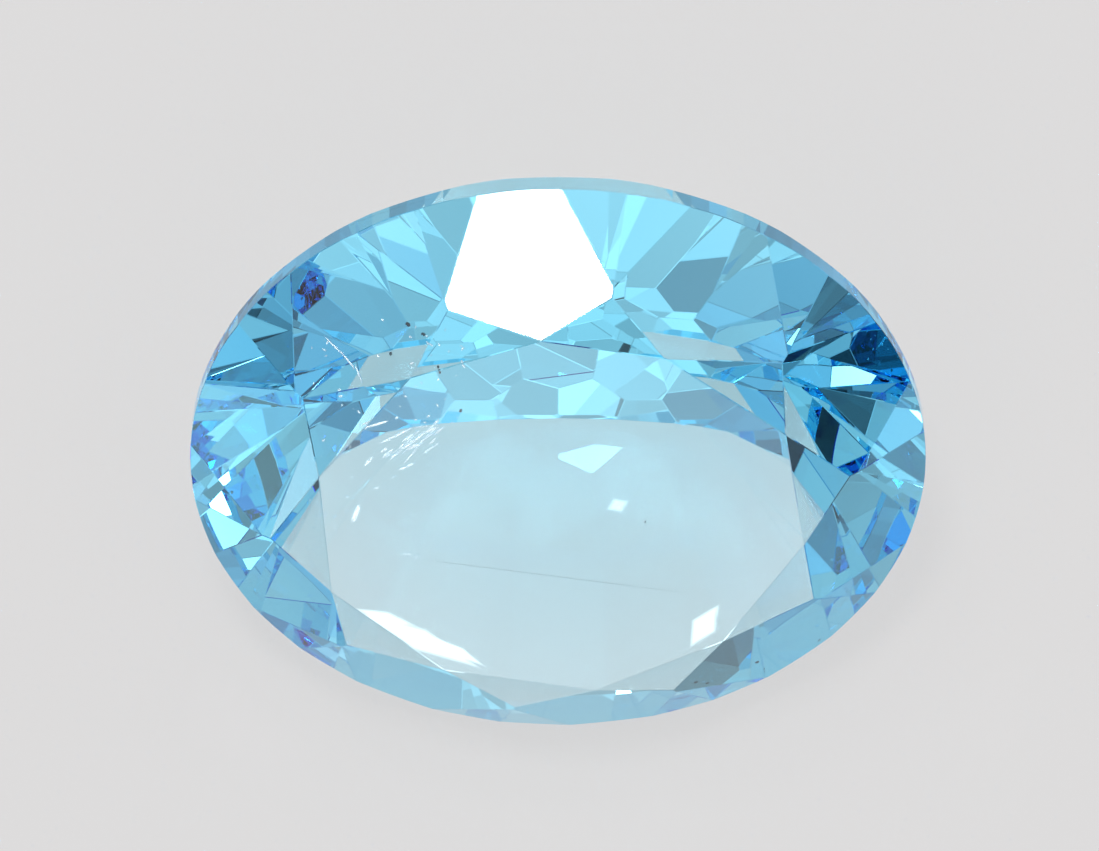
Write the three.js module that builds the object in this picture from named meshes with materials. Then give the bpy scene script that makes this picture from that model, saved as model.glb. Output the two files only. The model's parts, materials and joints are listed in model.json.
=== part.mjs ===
// Loose oval topaz in a brilliant style cut, lying on one pavilion facet.
// Millimetres, +Z up. The stone is cut table up, then turned onto its rest facet.
import * as THREE from "three";

// Girdle oval and depths
const LENGTH = 12.0;
const WIDTH = 10.0;
const GIRDLE = 0.45;
const CROWN = 1.6;
const PAVILION = 3.4;
const GIRDLE_SIDES = 120;

// The crown mains as the hand left them: index angle in degrees, the table corner each
// one leaves as a share of the girdle oval, and how far that corner is turned aside
const CROWN_MAINS = [
  [96, 0.617, -1.7], [129.5, 0.623, 0], [170, 0.655, 0], [207, 0.69, 0], [243, 0.68, 0],
  [278.5, 0.69, 0], [312, 0.67, 0], [348.5, 0.68, 0], [384, 0.67, 0], [422.5, 0.622, 0],
];

// Half width of a crown main at the girdle in degrees, and how far the star facets
// reach down and the girdle facets reach up, as shares of the crown height
const CROWN_MAIN_HALF = 6.6;
const STAR_DOWN = 0.25;
const BREAK_UP = 0.68;

// Pavilion mains: how many, half width of one at the girdle in degrees, and the
// reach of the lower girdle facets as a share of the depth
const PAVILION_MAINS = 16;
const PAVILION_MAIN_HALF = 7.9;
const LOWER_DOWN = 0.6;

// The keel: length, straight middle part, rise towards its ends, and the small
// facets along it, flatter than the mains and cut this share of the depth up
const KEEL = 4.6;
const KEEL_STRAIGHT = 0.4;
const KEEL_SPREAD = 1.1;
const KEEL_RISE = 0.18;
const KEEL_FACET_DROP = 8;
const KEEL_FACET_UP = 0.18;

const GIRDLE_TOP = GIRDLE / 2;
const GIRDLE_FOOT = -GIRDLE / 2;
const TABLE_Z = GIRDLE_TOP + CROWN;
const KEEL_Z = GIRDLE_FOOT - PAVILION;
const CENTRE = new THREE.Vector3();
const MEET = 1e-6;
const ROUGH_SIZE = 60;

function ovalPoint(degrees, share, z) {
  const a = THREE.MathUtils.degToRad(degrees);
  return new THREE.Vector3(share * LENGTH / 2 * Math.cos(a), share * WIDTH / 2 * Math.sin(a), z);
}

// Every facet is a plane that faces away from the centre; the stone is what lies behind them all
const facets = [];

function grind(plane) {
  if (plane.distanceToPoint(CENTRE) > 0) plane.negate();
  facets.push(plane);
  return plane;
}

function grindThrough(a, b, c) {
  return grind(new THREE.Plane().setFromCoplanarPoints(a, b, c));
}

// The point at height z on the edge where two facets meet
function edgePoint(p, q, z) {
  const u = -p.constant - p.normal.z * z;
  const v = -q.constant - q.normal.z * z;
  const det = p.normal.x * q.normal.y - p.normal.y * q.normal.x;
  const x = (u * q.normal.y - v * p.normal.y) / det;
  const y = (p.normal.x * v - q.normal.x * u) / det;
  return new THREE.Vector3(x, y, z);
}

function grindGirdle() {
  const step = 360 / GIRDLE_SIDES;
  for (let k = 0; k < GIRDLE_SIDES; k += 1) {
    const foot = ovalPoint(k * step, 1, 0);
    grindThrough(foot, ovalPoint((k + 1) * step, 1, 0), foot.clone().setZ(1));
  }
}

function grindCrown() {
  grind(new THREE.Plane(new THREE.Vector3(0, 0, 1), -TABLE_Z));
  const mains = CROWN_MAINS.map(([angle, reach, turn]) => {
    const corner = ovalPoint(angle + turn, reach, TABLE_Z);
    const start = ovalPoint(angle - CROWN_MAIN_HALF, 1, GIRDLE_TOP);
    const end = ovalPoint(angle + CROWN_MAIN_HALF, 1, GIRDLE_TOP);
    return { angle, start, end, corner, plane: grindThrough(corner, start, end) };
  });
  mains.forEach((main, k) => {
    const next = mains[(k + 1) % mains.length];
    const star = edgePoint(main.plane, next.plane, TABLE_Z - STAR_DOWN * CROWN);
    grindThrough(main.corner, star, next.corner);
    const tip = edgePoint(main.plane, next.plane, GIRDLE_TOP + BREAK_UP * CROWN);
    const turnToNext = (next.angle - main.angle + 360) % 360;
    const middle = ovalPoint(main.angle + turnToNext / 2, 1, GIRDLE_TOP);
    grindThrough(tip, main.end, middle);
    grindThrough(tip, middle, next.start);
  });
}

// Where a pavilion main meets the keel, nearer the keel's end for mains nearer the stone's ends
function keelPoint(angle) {
  const along = Math.cos(THREE.MathUtils.degToRad(angle));
  const spread = Math.pow(Math.abs(along), KEEL_SPREAD) * (KEEL - KEEL_STRAIGHT) / 2;
  const rise = KEEL_RISE * Math.pow(spread, 1.5);
  return new THREE.Vector3(Math.sign(along) * (KEEL_STRAIGHT / 2 + spread), 0, KEEL_Z + rise);
}

function grindPavilion() {
  const step = 360 / PAVILION_MAINS;
  const mains = [];
  for (let k = 0; k < PAVILION_MAINS; k += 1) {
    const angle = k * step;
    const start = ovalPoint(angle - PAVILION_MAIN_HALF, 1, GIRDLE_FOOT);
    const end = ovalPoint(angle + PAVILION_MAIN_HALF, 1, GIRDLE_FOOT);
    mains.push({ angle, start, end, plane: grindThrough(keelPoint(angle), start, end) });
  }
  mains.forEach((main, k) => {
    const next = mains[(k + 1) % mains.length];
    const meet = edgePoint(main.plane, next.plane, GIRDLE_FOOT - LOWER_DOWN * PAVILION);
    const middle = ovalPoint(main.angle + step / 2, 1, GIRDLE_FOOT);
    grindThrough(meet, main.end, middle);
    grindThrough(meet, middle, next.start);

    const between = main.plane.normal.clone().add(next.plane.normal).normalize();
    const lean = Math.acos(-between.z) - THREE.MathUtils.degToRad(KEEL_FACET_DROP);
    const turn = Math.atan2(between.y, between.x);
    const normal = new THREE.Vector3(
      Math.cos(turn) * Math.sin(lean), Math.sin(turn) * Math.sin(lean), -Math.cos(lean));
    const through = edgePoint(main.plane, next.plane, KEEL_Z + KEEL_FACET_UP * PAVILION);
    grind(new THREE.Plane().setFromNormalAndCoplanarPoint(normal, through));
  });
  return mains[PAVILION_MAINS * 3 / 4].plane;
}

// The part of an outline that lies behind a facet
function behind(outline, plane) {
  const kept = [];
  outline.forEach((p, i) => {
    const q = outline[(i + 1) % outline.length];
    const from = plane.distanceToPoint(p);
    const to = plane.distanceToPoint(q);
    if (from <= MEET) kept.push(p);
    if ((from < -MEET && to > MEET) || (from > MEET && to < -MEET)) {
      kept.push(p.clone().lerp(q, from / (from - to)));
    }
  });
  return kept;
}

// A facet's outline: a wide square on its plane, cut back by all the others
function facetOutline(plane) {
  const middle = plane.projectPoint(CENTRE, new THREE.Vector3());
  const side = Math.abs(plane.normal.z) < 0.9 ? new THREE.Vector3(0, 0, 1) : new THREE.Vector3(1, 0, 0);
  const u = side.cross(plane.normal).normalize().multiplyScalar(ROUGH_SIZE);
  const v = plane.normal.clone().cross(u);
  let outline = [[1, 1], [-1, 1], [-1, -1], [1, -1]].map(
    ([a, b]) => middle.clone().addScaledVector(u, a).addScaledVector(v, b));
  for (const other of facets) {
    if (other !== plane) outline = behind(outline, other);
  }
  return outline.filter((p, i) => p.distanceTo(outline[(i + 1) % outline.length]) > 100 * MEET);
}

// Each outline as a fan of triangles, wound to face outwards
function stoneGeometry() {
  const positions = [];
  for (const plane of facets) {
    const outline = facetOutline(plane);
    for (let i = 1; i + 1 < outline.length; i += 1) {
      for (const p of [outline[0], outline[i], outline[i + 1]]) positions.push(p.x, p.y, p.z);
    }
  }
  const geometry = new THREE.BufferGeometry();
  geometry.setAttribute("position", new THREE.Float32BufferAttribute(positions, 3));
  return geometry;
}

grindGirdle();
grindCrown();
const restFacet = grindPavilion();

// Turn about the long axis until the rest facet is flat on the ground, then centre the stone
const geometry = stoneGeometry();
geometry.rotateX(Math.atan2(-restFacet.normal.y, -restFacet.normal.z));
geometry.computeBoundingBox();
const box = geometry.boundingBox;
geometry.translate(-(box.min.x + box.max.x) / 2, -(box.min.y + box.max.y) / 2, -box.min.z);
geometry.computeVertexNormals();

const topaz = new THREE.Mesh(
  geometry,
  new THREE.MeshStandardMaterial({ color: 0x8ec9e6, roughness: 0.05, transparent: true, opacity: 0.35 }),
);
topaz.name = "topaz";

const group = new THREE.Group();
group.name = "topaz_gemstone";
group.add(topaz);

export default group;
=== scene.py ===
import json
import math
import random

import bmesh
import bpy
from mathutils import Matrix, Vector
from mathutils.bvhtree import BVHTree


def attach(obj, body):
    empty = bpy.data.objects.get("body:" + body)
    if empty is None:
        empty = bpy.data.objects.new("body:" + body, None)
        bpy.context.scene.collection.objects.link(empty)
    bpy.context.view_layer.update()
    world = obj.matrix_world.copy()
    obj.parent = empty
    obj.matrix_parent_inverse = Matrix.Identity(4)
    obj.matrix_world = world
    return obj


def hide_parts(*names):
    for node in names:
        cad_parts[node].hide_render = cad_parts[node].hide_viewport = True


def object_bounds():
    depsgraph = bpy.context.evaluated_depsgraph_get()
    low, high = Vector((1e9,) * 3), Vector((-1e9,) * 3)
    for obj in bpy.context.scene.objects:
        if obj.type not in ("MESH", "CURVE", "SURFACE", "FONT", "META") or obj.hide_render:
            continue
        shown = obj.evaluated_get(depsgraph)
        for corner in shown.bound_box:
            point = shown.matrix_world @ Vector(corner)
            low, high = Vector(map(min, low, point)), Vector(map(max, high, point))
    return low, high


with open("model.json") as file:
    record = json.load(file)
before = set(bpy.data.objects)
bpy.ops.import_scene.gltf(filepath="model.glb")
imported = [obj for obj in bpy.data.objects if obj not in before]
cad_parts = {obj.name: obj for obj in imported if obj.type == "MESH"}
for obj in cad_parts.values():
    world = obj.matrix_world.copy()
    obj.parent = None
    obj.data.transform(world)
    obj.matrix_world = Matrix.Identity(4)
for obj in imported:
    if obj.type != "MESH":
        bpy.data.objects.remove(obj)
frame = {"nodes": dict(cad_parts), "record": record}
cad_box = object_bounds()
table_way = next(mount["axis"] for mount in frame["record"]["mounts"] if mount["name"] == "table")

# Lengths are in metres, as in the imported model, and this is one millimetre
MM = 0.001

# The view: frame size in pixels, the stone's length and middle in that frame, the
# table's lean from level, and its lean away from the line of sight
FRAME_W, FRAME_H = 1099, 851
STONE_PX = 735
STONE_MIDDLE_PX = (558.0, 451.0)
STONE_LENGTH = cad_box[1].x - cad_box[0].x
TABLE_LEAN = math.atan2(-table_way[1], table_way[2])
VIEW_LEAN = math.radians(29.0)
CAMERA_DISTANCE = 0.2
SENSOR_WIDTH = 36.0
NEAR_CLIP = 0.001
AIM = Vector((0.0, 0.0, 3.0 * MM))

# The stone: refraction, blue body colour, how smooth facets and worn edges are (roughness
# from and to, scale of its grain), width of the worn edges, which edges wear and which
# are no edges at all, and how close two corners are one
TOPAZ_IOR = 1.62
BODY_COLOUR = (0.13, 0.8, 0.964, 1.0)
BODY_DENSITY = 140.0
FACET_POLISH = (0.0, 0.003, 700.0)
EDGE_POLISH = (0.01, 0.12, 3000.0)
WEAR = 0.009 * MM
SHARP_EDGE = math.radians(4.0)
FLAT_EDGE = math.radians(0.3)
SAME_CORNER = 1e-7

# The floor lies just under the rest facet
FLOOR_GAP = 0.02 * MM
FLOOR_HALF = 0.6
FLOOR_TONES = (0.117, 0.123)
FLOOR_GLOW = 0.585

# Painted light: slim kites of glow painted into the floor's emission under the stone, standing in
# for the light the stone would gather there: place, half length and half width in millimetres,
# turn in degrees, and how much brighter than the floor it is
PAINTED_CAUSTIC_KITES = [
    (-2.24, -2.06, 1.2, 0.23, -31.0, 1.4), (-2.75, -1.62, 0.55, 0.12, -22.0, 0.9),
    (-1.6, -2.32, 0.55, 0.1, -36.0, 1.0), (2.36, -1.8, 0.5, 0.23, 62.0, 1.4),
    (0.97, 0.42, 0.22, 0.17, 25.0, 0.7),
]

# Soft panels: name, bearing from the front (right is plus) and height in degrees,
# half angle in degrees, radiance, colour
WHITE = (1.0, 1.0, 1.0)
PALE_BLUE = (0.45, 0.9, 1.0)
PANELS = [
    ("softbox", -159.9, 71.1, 6.5, 24.0, WHITE),
    ("back_panel", -157.0, 53.0, 3.5, 16.0, WHITE),
    ("front_panel", 0.0, 26.5, 3.8, 1.25, WHITE),
    ("top_panel", -15.0, 67.0, 3.5, 1.8, WHITE),
    ("right_panel", 107.0, 33.0, 2.6, 12.0, WHITE),
    ("low_right_panel", 92.0, 10.0, 3.5, 8.0, WHITE),
    ("high_left_panel", -99.0, 52.0, 3.0, 4.0, WHITE),
    ("left_panel", -90.0, 8.5, 2.4, 2.8, WHITE),
    ("low_left_panel", -66.0, 4.0, 3.5, 3.0, PALE_BLUE),
]
PANEL_DISTANCE = 0.4

# Tone of the room by how far a direction points to either side, from 0 to 1, the
# uneven light on its walls, and its darker and brighter places: bearing, height, half
# angles where the place is full and where it ends, all in degrees, and tone
ROOM_TONES = [(0.0, (0.92, 0.92, 0.92)), (0.7, (0.88, 0.88, 0.88)),
              (0.82, (0.4, 0.55, 0.66)), (1.0, (0.4, 0.55, 0.66))]
ROOM_MOTTLE = [(0.38, (0.6, 0.6, 0.6)), (0.62, (1.4, 1.4, 1.4))]
MOTTLE_SCALE = 4.5
ROOM_PLACES = [
    (0.0, 66.4, 14.0, 26.0, 0.5), (0.0, 17.0, 18.0, 38.0, 1.22), (-16.0, 1.0, 5.0, 10.0, 0.1),
    (-82.0, 36.0, 3.0, 8.0, 0.12), (-84.0, 21.0, 5.0, 9.0, 0.06), (-111.0, 40.0, 4.0, 10.0, 0.35),
    (84.0, 20.0, 6.0, 12.0, 0.07), (-147.0, 12.0, 5.0, 14.0, 0.18),
]
BACKDROP_TONE = 0.72

# How often light may bounce on its way through the stone
LIGHT_BOUNCES = 28

# Flaws in the stone, each by its place across and up from the middle of the outline as
# seen by the camera, its depth under the facet, its length and width, all in millimetres,
# and its turn in degrees. A speck has one size and no turn
FEATHERS = [
    (-2.93, 0.48, 0.5, 0.42, 0.05, 28), (-2.62, 0.30, 0.6, 0.6, 0.06, 38),
    (-2.35, 0.02, 0.7, 0.5, 0.05, 62), (-2.20, 0.44, 0.5, 0.22, 0.04, 15),
    (-2.05, 0.10, 0.8, 0.34, 0.05, 48), (-2.45, -0.20, 0.6, 0.3, 0.06, 35),
    (-3.62, 1.75, 0.4, 0.5, 0.04, 64), (-3.40, 1.52, 0.5, 0.42, 0.04, 58),
    (-3.22, 1.30, 0.4, 0.34, 0.04, 40), (-3.28, -0.96, 0.5, 0.36, 0.12, 80),
    (-2.45, -1.62, 0.4, 0.16, 0.05, 10), (-2.30, -1.66, 0.4, 0.1, 0.06, 70),
    (-1.32, -2.55, 0.3, 0.24, 0.015, 86), (-1.10, -2.22, 0.4, 0.07, 0.03, 20),
    (-2.95, -0.55, 0.5, 0.14, 0.05, 30),
]
SPECKS = [
    (-2.42, 2.09, 0.3, 0.07), (-2.17, 1.93, 0.3, 0.06), (-1.57, 0.70, 0.3, 0.05),
    (-2.70, 1.62, 0.4, 0.05), (-1.92, 1.36, 0.5, 0.04), (1.42, -1.10, 0.6, 0.03),
]
FLAW_THICKNESS = 0.012
HAIR_LINE = (-0.09, -1.98, 0.03, 4.75, 0.006, -8.3)

# Tiny bright films: how many, the middle and half size of the place they are scattered
# over, their size and depth from and to, in millimetres, and how far films lean at random
SPARKLES = 90
SPARKLE_REGION = (-2.8, 0.5, 1.3, 1.7)
SPARKLE_SIZE = (0.015, 0.045)
SPARKLE_DEPTH = (0.3, 1.2)
SPARKLE_LEAN = 7.0
FEATHER_LEAN = 6.0
SCATTER_SEED = 7

# The thick of the feather: how many flakes, both ends of the band they lie along, its half
# width, their depth, length and turn from and to, in millimetres and degrees
FLAKES = 34
FLAKE_BAND = ((-3.05, -0.22), (-1.9, 0.46))
FLAKE_SPREAD = 0.12
FLAKE_DEPTH = (0.4, 0.8)
FLAKE_LENGTH = (0.07, 0.26)
FLAKE_TURN = (28.0, 58.0)


def view_axes():
    """From the stone to the camera, then right and up in the view."""
    lean = VIEW_LEAN - TABLE_LEAN
    towards = Vector((0.0, math.sin(lean), math.cos(lean)))
    right = Vector((1.0, 0.0, 0.0))
    return towards, right, towards.cross(right)


def keep(name, mesh_maker, materials):
    """Make a piece of a finished bmesh, at the origin, with its materials."""
    mesh = bpy.data.meshes.new(name)
    mesh_maker.to_mesh(mesh)
    mesh_maker.free()
    for material in materials:
        mesh.materials.append(material)
    piece = bpy.data.objects.new(name, mesh)
    bpy.context.scene.collection.objects.link(piece)
    return piece


def new_material(name):
    """A material with its nodes, its links and its main shader."""
    material = bpy.data.materials.new(name)
    material.use_nodes = True
    nodes = material.node_tree.nodes
    return material, nodes, material.node_tree.links, nodes["Principled BSDF"]


def object_noise(nodes, links, scale, detail):
    """Noise that is fixed to the piece."""
    where = nodes.new("ShaderNodeTexCoord")
    noise = nodes.new("ShaderNodeTexNoise")
    noise.inputs["Scale"].default_value = scale
    noise.inputs["Detail"].default_value = detail
    links.new(where.outputs["Object"], noise.inputs["Vector"])
    return noise


def spread(nodes, links, source, low, high, out_low, out_high):
    """The source's range from low to high, stretched to another range."""
    change = nodes.new("ShaderNodeMapRange")
    change.inputs["From Min"].default_value = low
    change.inputs["From Max"].default_value = high
    change.inputs["To Min"].default_value = out_low
    change.inputs["To Max"].default_value = out_high
    links.new(source, change.inputs["Value"])
    return change.outputs["Result"]


def clear_topaz(name, rough_low, rough_high, grain):
    """See-through blue stone; its polish varies a little over the surface."""
    material, nodes, links, shader = new_material(name)
    shader.inputs["Base Color"].default_value = (1.0, 1.0, 1.0, 1.0)
    shader.inputs["IOR"].default_value = TOPAZ_IOR
    shader.inputs["Transmission Weight"].default_value = 1.0
    noise = object_noise(nodes, links, grain, 6.0)
    polish = spread(nodes, links, noise.outputs["Fac"], 0.35, 0.7, rough_low, rough_high)
    links.new(polish, shader.inputs["Roughness"])
    body = nodes.new("ShaderNodeVolumeAbsorption")
    body.inputs["Color"].default_value = BODY_COLOUR
    body.inputs["Density"].default_value = BODY_DENSITY
    links.new(body.outputs["Volume"], nodes["Material Output"].inputs["Volume"])
    return material


def make_stone():
    """The faceted stone, its flat facets whole again and its edges slightly worn."""
    shape = bmesh.new()
    shape.from_mesh(frame["nodes"]["topaz"].data)
    bmesh.ops.remove_doubles(shape, verts=shape.verts, dist=SAME_CORNER)
    bmesh.ops.dissolve_limit(shape, angle_limit=FLAT_EDGE, verts=shape.verts, edges=shape.edges)
    sharp = [edge for edge in shape.edges
             if len(edge.link_faces) == 2 and edge.calc_face_angle() > SHARP_EDGE]
    worn = bmesh.ops.bevel(shape, geom=sharp, offset=WEAR, segments=1, affect="EDGES",
                           profile=0.5, material=-1)
    for face in shape.faces:
        face.smooth = False
    for face in worn["faces"]:
        face.material_index = 1
    facets = clear_topaz("topaz_polish", *FACET_POLISH)
    edges = clear_topaz("topaz_worn_edge", *EDGE_POLISH)
    stone = keep("topaz_stone", shape, [facets, edges])
    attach(stone, "root")
    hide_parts("topaz")
    return stone


def refracted(direction, normal):
    """The direction a line of sight takes inside the stone."""
    cosine = -direction.dot(normal)
    ratio = 1.0 / TOPAZ_IOR
    inner = math.sqrt(1.0 - ratio * ratio * (1.0 - cosine * cosine))
    return (direction * ratio + normal * (ratio * cosine - inner)).normalized()


def flaw_place(tree, across, up, depth):
    """A point inside the stone that the camera sees at that place of the outline, the way
    the facet over it faces, and the way a flat film there has to face to throw the
    softbox's light to the camera."""
    sight, right, upward = view_axes()
    start = AIM + right * (across * MM) + upward * (up * MM) + sight * CAMERA_DISTANCE
    spot, normal, _, _ = tree.ray_cast(start, -sight)
    inward = refracted(-sight, normal)
    _, bearing, height, _, _, _ = PANELS[0]
    light = refracted(-panel_direction(bearing, height), normal)
    return spot + inward * (depth * MM), normal, -(inward + light).normalized()


def make_flaws(stone):
    """Feathers, specks and a hair line inside the stone, as thin closed lenses."""
    random.seed(SCATTER_SEED)
    tree = BVHTree.FromPolygons([vertex.co for vertex in stone.data.vertices],
                                [face.vertices[:] for face in stone.data.polygons])
    pale = bmesh.new()
    dark = bmesh.new()

    def lens(shape, spot, facing, length, width, thickness, turn, lean):
        """A flat closed lens at a spot, turned in its own plane and leant a little."""
        face_on = facing.to_track_quat("Z", "Y").to_matrix().to_4x4()
        tilt = (Matrix.Rotation(math.radians(lean), 4, "X")
                @ Matrix.Rotation(math.radians(lean / 2.0), 4, "Y"))
        size = Matrix.Diagonal((length * MM / 2.0, width * MM / 2.0, thickness * MM / 2.0, 1.0))
        matrix = (Matrix.Translation(spot) @ face_on @ tilt
                  @ Matrix.Rotation(math.radians(turn), 4, "Z") @ size)
        bmesh.ops.create_icosphere(shape, subdivisions=2, radius=1.0, matrix=matrix)

    for across, up, depth, length, width, turn in FEATHERS:
        spot, _, shining = flaw_place(tree, across, up, depth)
        lean = random.uniform(-FEATHER_LEAN, FEATHER_LEAN)
        lens(pale, spot, shining, length, width, FLAW_THICKNESS, turn, lean)
    for _ in range(SPARKLES):
        middle_x, middle_y, half_x, half_y = SPARKLE_REGION
        across = middle_x + half_x * random.uniform(-1.0, 1.0)
        up = middle_y + half_y * random.uniform(-1.0, 1.0)
        size = random.uniform(*SPARKLE_SIZE)
        spot, _, shining = flaw_place(tree, across, up, random.uniform(*SPARKLE_DEPTH))
        turn = random.uniform(0.0, 180.0)
        lean = random.uniform(-SPARKLE_LEAN, SPARKLE_LEAN)
        lens(pale, spot, shining, size * 1.8, size, FLAW_THICKNESS, turn, lean)
    for across, up, depth, size in SPECKS:
        spot, facet_way, _ = flaw_place(tree, across, up, depth)
        turn = random.uniform(0.0, 180.0)
        lens(dark, spot, facet_way, size * 1.4, size, size * 0.5, turn, 0.0)
    across, up, depth, length, width, turn = HAIR_LINE
    spot, facet_way, _ = flaw_place(tree, across, up, depth)
    lens(dark, spot, facet_way, length, width, FLAW_THICKNESS / 3.0, turn, 0.0)
    low_end, high_end = Vector(FLAKE_BAND[0]), Vector(FLAKE_BAND[1])
    for _ in range(FLAKES):
        middle = low_end.lerp(high_end, math.sqrt(random.random()))
        across = middle.x + random.uniform(-FLAKE_SPREAD, FLAKE_SPREAD)
        up = middle.y + random.uniform(-FLAKE_SPREAD, FLAKE_SPREAD)
        spot, _, shining = flaw_place(tree, across, up, random.uniform(*FLAKE_DEPTH))
        length = random.uniform(*FLAKE_LENGTH)
        turn = random.uniform(*FLAKE_TURN)
        lean = random.uniform(-FEATHER_LEAN, FEATHER_LEAN)
        lens(pale, spot, shining, length, length * 0.3, FLAW_THICKNESS, turn, lean)

    for name, shape, material in (("topaz_feathers", pale, feather_film()),
                                  ("topaz_specks", dark, dark_crystal())):
        piece = keep(name, shape, [material])
        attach(piece, "root")


def feather_film():
    """A healed crack: a mirror-like film that is thin in places."""
    material, nodes, links, shader = new_material("feather_film")
    shader.inputs["Base Color"].default_value = (0.92, 0.97, 1.0, 1.0)
    shader.inputs["Metallic"].default_value = 1.0
    noise = object_noise(nodes, links, 9000.0, 4.0)
    dullness = spread(nodes, links, noise.outputs["Fac"], 0.3, 0.7, 0.2, 0.45)
    links.new(dullness, shader.inputs["Roughness"])
    cover = spread(nodes, links, noise.outputs["Fac"], 0.35, 0.62, 0.2, 0.95)
    links.new(cover, shader.inputs["Alpha"])
    return material


def dark_crystal():
    """A tiny dark grain or fibre, see-through in places."""
    material, nodes, links, shader = new_material("dark_crystal")
    noise = object_noise(nodes, links, 20000.0, 3.0)
    tint = nodes.new("ShaderNodeMix")
    tint.data_type = "RGBA"
    tint.inputs["A"].default_value = (0.01, 0.02, 0.03, 1.0)
    tint.inputs["B"].default_value = (0.05, 0.09, 0.12, 1.0)
    links.new(noise.outputs["Fac"], tint.inputs["Factor"])
    links.new(tint.outputs["Result"], shader.inputs["Base Color"])
    shader.inputs["Roughness"].default_value = 0.35
    cover = spread(nodes, links, noise.outputs["Fac"], 0.3, 0.6, 0.5, 1.0)
    links.new(cover, shader.inputs["Alpha"])
    return material


def painted_caustic_glow(nodes, links):
    """The floor's glow, with the painted kites of caustic light under the stone added to it."""
    where = nodes.new("ShaderNodeTexCoord")
    glow = None
    # Each kite is painted light: extra glow in the floor's emission, not light that a lamp casts
    # through the stone
    for across, along, half_length, half_width, turn, gain in PAINTED_CAUSTIC_KITES:
        place = nodes.new("ShaderNodeMapping")
        place.vector_type = "TEXTURE"
        place.inputs["Location"].default_value = (across * MM, along * MM, 0.0)
        place.inputs["Rotation"].default_value = (0.0, 0.0, math.radians(turn))
        place.inputs["Scale"].default_value = (half_length * MM, half_width * MM, 1.0)
        links.new(where.outputs["Object"], place.inputs["Vector"])
        folded = nodes.new("ShaderNodeVectorMath")
        folded.operation = "ABSOLUTE"
        links.new(place.outputs["Vector"], folded.inputs[0])
        reach = nodes.new("ShaderNodeVectorMath")
        reach.operation = "DOT_PRODUCT"
        reach.inputs[1].default_value = (1.0, 1.0, 0.0)
        links.new(folded.outputs["Vector"], reach.inputs[0])
        light = spread(nodes, links, reach.outputs["Value"], 0.5, 1.0, gain, 0.0)
        total = nodes.new("ShaderNodeMath")
        total.inputs[0].default_value = FLOOR_GLOW
        if glow:
            links.new(glow, total.inputs[0])
        links.new(light, total.inputs[1])
        glow = total.outputs["Value"]
    return glow


def make_floor():
    """A plain pale floor with a slight unevenness, and painted kites of caustic light in its glow
    under the stone.
    """
    material, nodes, links, shader = new_material("pale_floor")
    noise = object_noise(nodes, links, 60.0, 4.0)
    tone = spread(nodes, links, noise.outputs["Fac"], 0.3, 0.7, *FLOOR_TONES)
    links.new(tone, shader.inputs["Base Color"])
    shader.inputs["Roughness"].default_value = 0.9
    shader.inputs["Specular IOR Level"].default_value = 0.1
    shader.inputs["Emission Color"].default_value = (1.0, 0.98, 0.978, 1.0)
    # Painted light: the floor's glow carries the kites painted in under the stone in place of
    # caustics
    links.new(painted_caustic_glow(nodes, links), shader.inputs["Emission Strength"])
    shape = bmesh.new()
    bmesh.ops.create_grid(shape, x_segments=1, y_segments=1, size=FLOOR_HALF,
                          matrix=Matrix.Translation((0.0, 0.0, -FLOOR_GAP)))
    floor = keep("floor", shape, [material])


def panel_direction(bearing, height):
    """From the stone towards a bearing and a height."""
    turn, rise = math.radians(bearing), math.radians(height)
    level = Vector((math.sin(turn), -math.cos(turn), 0.0)) * math.cos(rise)
    return level + Vector((0.0, 0.0, math.sin(rise)))


def make_panel(name, bearing, height, half, radiance, colour):
    """A round soft panel that faces the stone."""
    towards = panel_direction(bearing, height)
    light = bpy.data.lights.new(name, "AREA")
    light.shape = "DISK"
    light.size = 2.0 * PANEL_DISTANCE * math.tan(math.radians(half))
    light.energy = radiance * math.pi * math.pi * (light.size / 2.0) ** 2
    light.color = colour
    panel = bpy.data.objects.new(name, light)
    bpy.context.scene.collection.objects.link(panel)
    panel.location = AIM + towards * PANEL_DISTANCE
    panel.rotation_mode = "QUATERNION"
    panel.rotation_quaternion = towards.to_track_quat("Z", "Y")
    panel.visible_camera = False


def tone_ramp(nodes, links, source, tones):
    """Tones at their places along the source's range."""
    ramp = nodes.new("ShaderNodeValToRGB")
    links.new(source, ramp.inputs["Fac"])
    stops = ramp.color_ramp.elements
    while len(stops) < len(tones):
        stops.new(1.0)
    for stop, (place, tone) in zip(stops, tones):
        stop.position, stop.color = place, (*tone, 1.0)
    return ramp.outputs["Color"]


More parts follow.
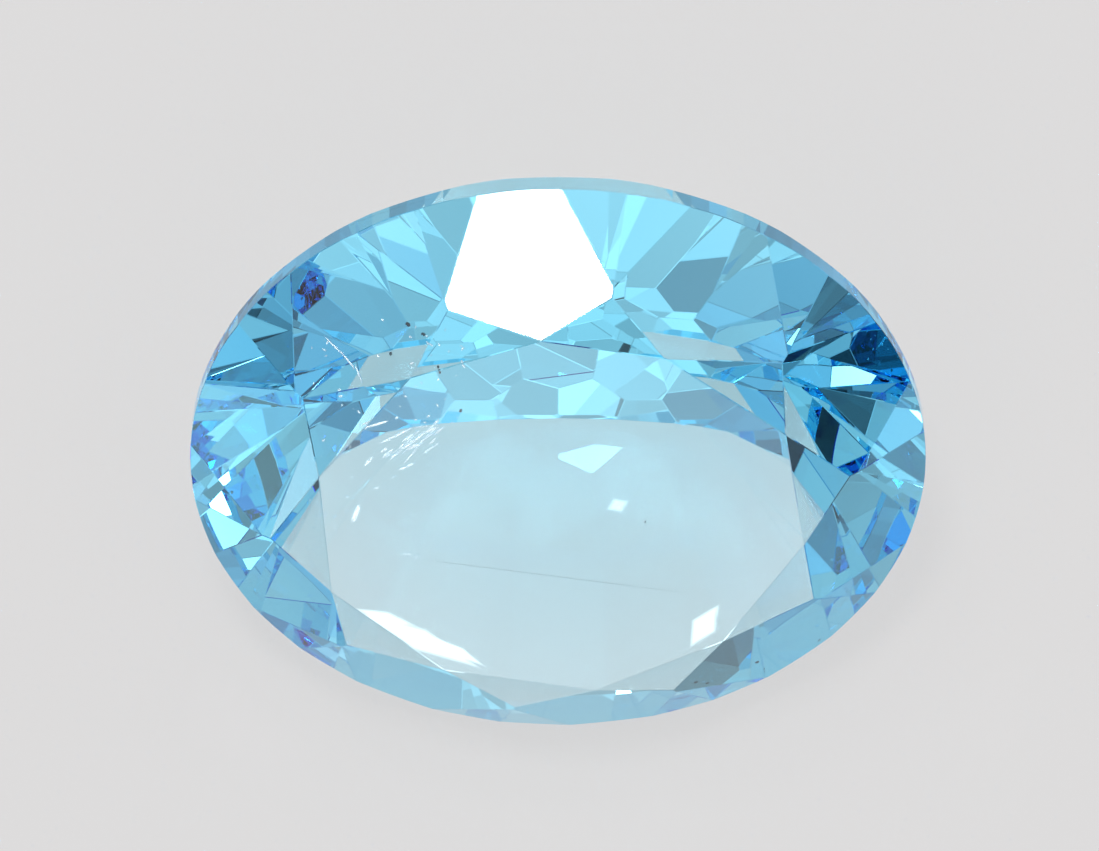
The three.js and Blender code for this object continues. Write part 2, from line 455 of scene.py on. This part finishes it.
def make_room():
    """A pale, unevenly lit room, darker to both sides, with a plain backdrop."""
    world = bpy.data.worlds.new("pale_room")
    bpy.context.scene.world = world
    world.use_nodes = True
    nodes, links = world.node_tree.nodes, world.node_tree.links
    where = nodes.new("ShaderNodeTexCoord")
    split = nodes.new("ShaderNodeSeparateXYZ")
    aside = nodes.new("ShaderNodeMath")
    aside.operation = "ABSOLUTE"
    links.new(where.outputs["Generated"], split.inputs["Vector"])
    links.new(split.outputs["X"], aside.inputs[0])
    room = tone_ramp(nodes, links, aside.outputs["Value"], ROOM_TONES)

    def times(one, other):
        """One tone dimmed or brightened by another."""
        product = nodes.new("ShaderNodeMix")
        product.data_type = "RGBA"
        product.blend_type = "MULTIPLY"
        product.inputs["Factor"].default_value = 1.0
        links.new(one, product.inputs["A"])
        links.new(other, product.inputs["B"])
        return product.outputs["Result"]

    mottle = nodes.new("ShaderNodeTexNoise")
    mottle.inputs["Scale"].default_value = MOTTLE_SCALE
    mottle.inputs["Detail"].default_value = 1.0
    links.new(where.outputs["Generated"], mottle.inputs["Vector"])
    room = times(room, tone_ramp(nodes, links, mottle.outputs["Fac"], ROOM_MOTTLE))
    for bearing, height, full, end, tone in ROOM_PLACES:
        near = nodes.new("ShaderNodeVectorMath")
        near.operation = "DOT_PRODUCT"
        near.inputs[1].default_value = panel_direction(bearing, height)
        links.new(where.outputs["Generated"], near.inputs[0])
        place = [(math.cos(math.radians(end)), (1.0, 1.0, 1.0)),
                 (math.cos(math.radians(full)), (tone, tone, tone))]
        room = times(room, tone_ramp(nodes, links, near.outputs["Value"], place))

    path = nodes.new("ShaderNodeLightPath")
    seen = nodes.new("ShaderNodeMix")
    seen.data_type = "RGBA"
    links.new(path.outputs["Is Camera Ray"], seen.inputs["Factor"])
    links.new(room, seen.inputs["A"])
    seen.inputs["B"].default_value = (BACKDROP_TONE, BACKDROP_TONE, BACKDROP_TONE, 1.0)
    links.new(seen.outputs["Result"], nodes["Background"].inputs["Color"])


def make_camera(stone):
    """The camera, with the stone at its place and size in the frame."""
    towards, right, up = view_axes()
    turn = Matrix((right, up, towards)).transposed()
    lens = bpy.data.cameras.new("camera")
    camera = bpy.data.objects.new("camera", lens)
    bpy.context.scene.collection.objects.link(camera)
    camera.matrix_world = Matrix.Translation(AIM + towards * CAMERA_DISTANCE) @ turn.to_4x4()
    frame_width = STONE_LENGTH * FRAME_W / STONE_PX
    lens.sensor_width = SENSOR_WIDTH
    lens.lens = lens.sensor_width * CAMERA_DISTANCE / frame_width
    lens.clip_start = NEAR_CLIP

    # Shift the frame until the middle of the outline sits where it should
    seen = [turn.transposed() @ (vertex.co - camera.location) for vertex in stone.data.vertices]
    across = [point.x / -point.z for point in seen]
    upward = [point.y / -point.z for point in seen]
    view_width = lens.sensor_width / lens.lens
    middle_x, middle_y = STONE_MIDDLE_PX
    lens.shift_x = ((min(across) + max(across)) / 2.0 / view_width
                    - (middle_x - FRAME_W / 2.0) / FRAME_W)
    lens.shift_y = ((min(upward) + max(upward)) / 2.0 / view_width
                    + (middle_y - FRAME_H / 2.0) / FRAME_W)
    bpy.context.scene.camera = camera


def set_light_paths():
    """Long light paths, so that light finds its way out of the facets."""
    scene = bpy.context.scene
    scene.view_settings.view_transform = "Standard"
    scene.cycles.use_denoising = True
    scene.cycles.denoising_input_passes = "RGB"
    scene.cycles.max_bounces = LIGHT_BOUNCES
    scene.cycles.transmission_bounces = LIGHT_BOUNCES
    scene.cycles.glossy_bounces = LIGHT_BOUNCES
    scene.cycles.caustics_reflective = True
    scene.cycles.caustics_refractive = True
    scene.cycles.blur_glossy = 0.0


stone = make_stone()
make_flaws(stone)
make_floor()
make_room()
for panel in PANELS:
    make_panel(*panel)
make_camera(stone)
set_light_paths()
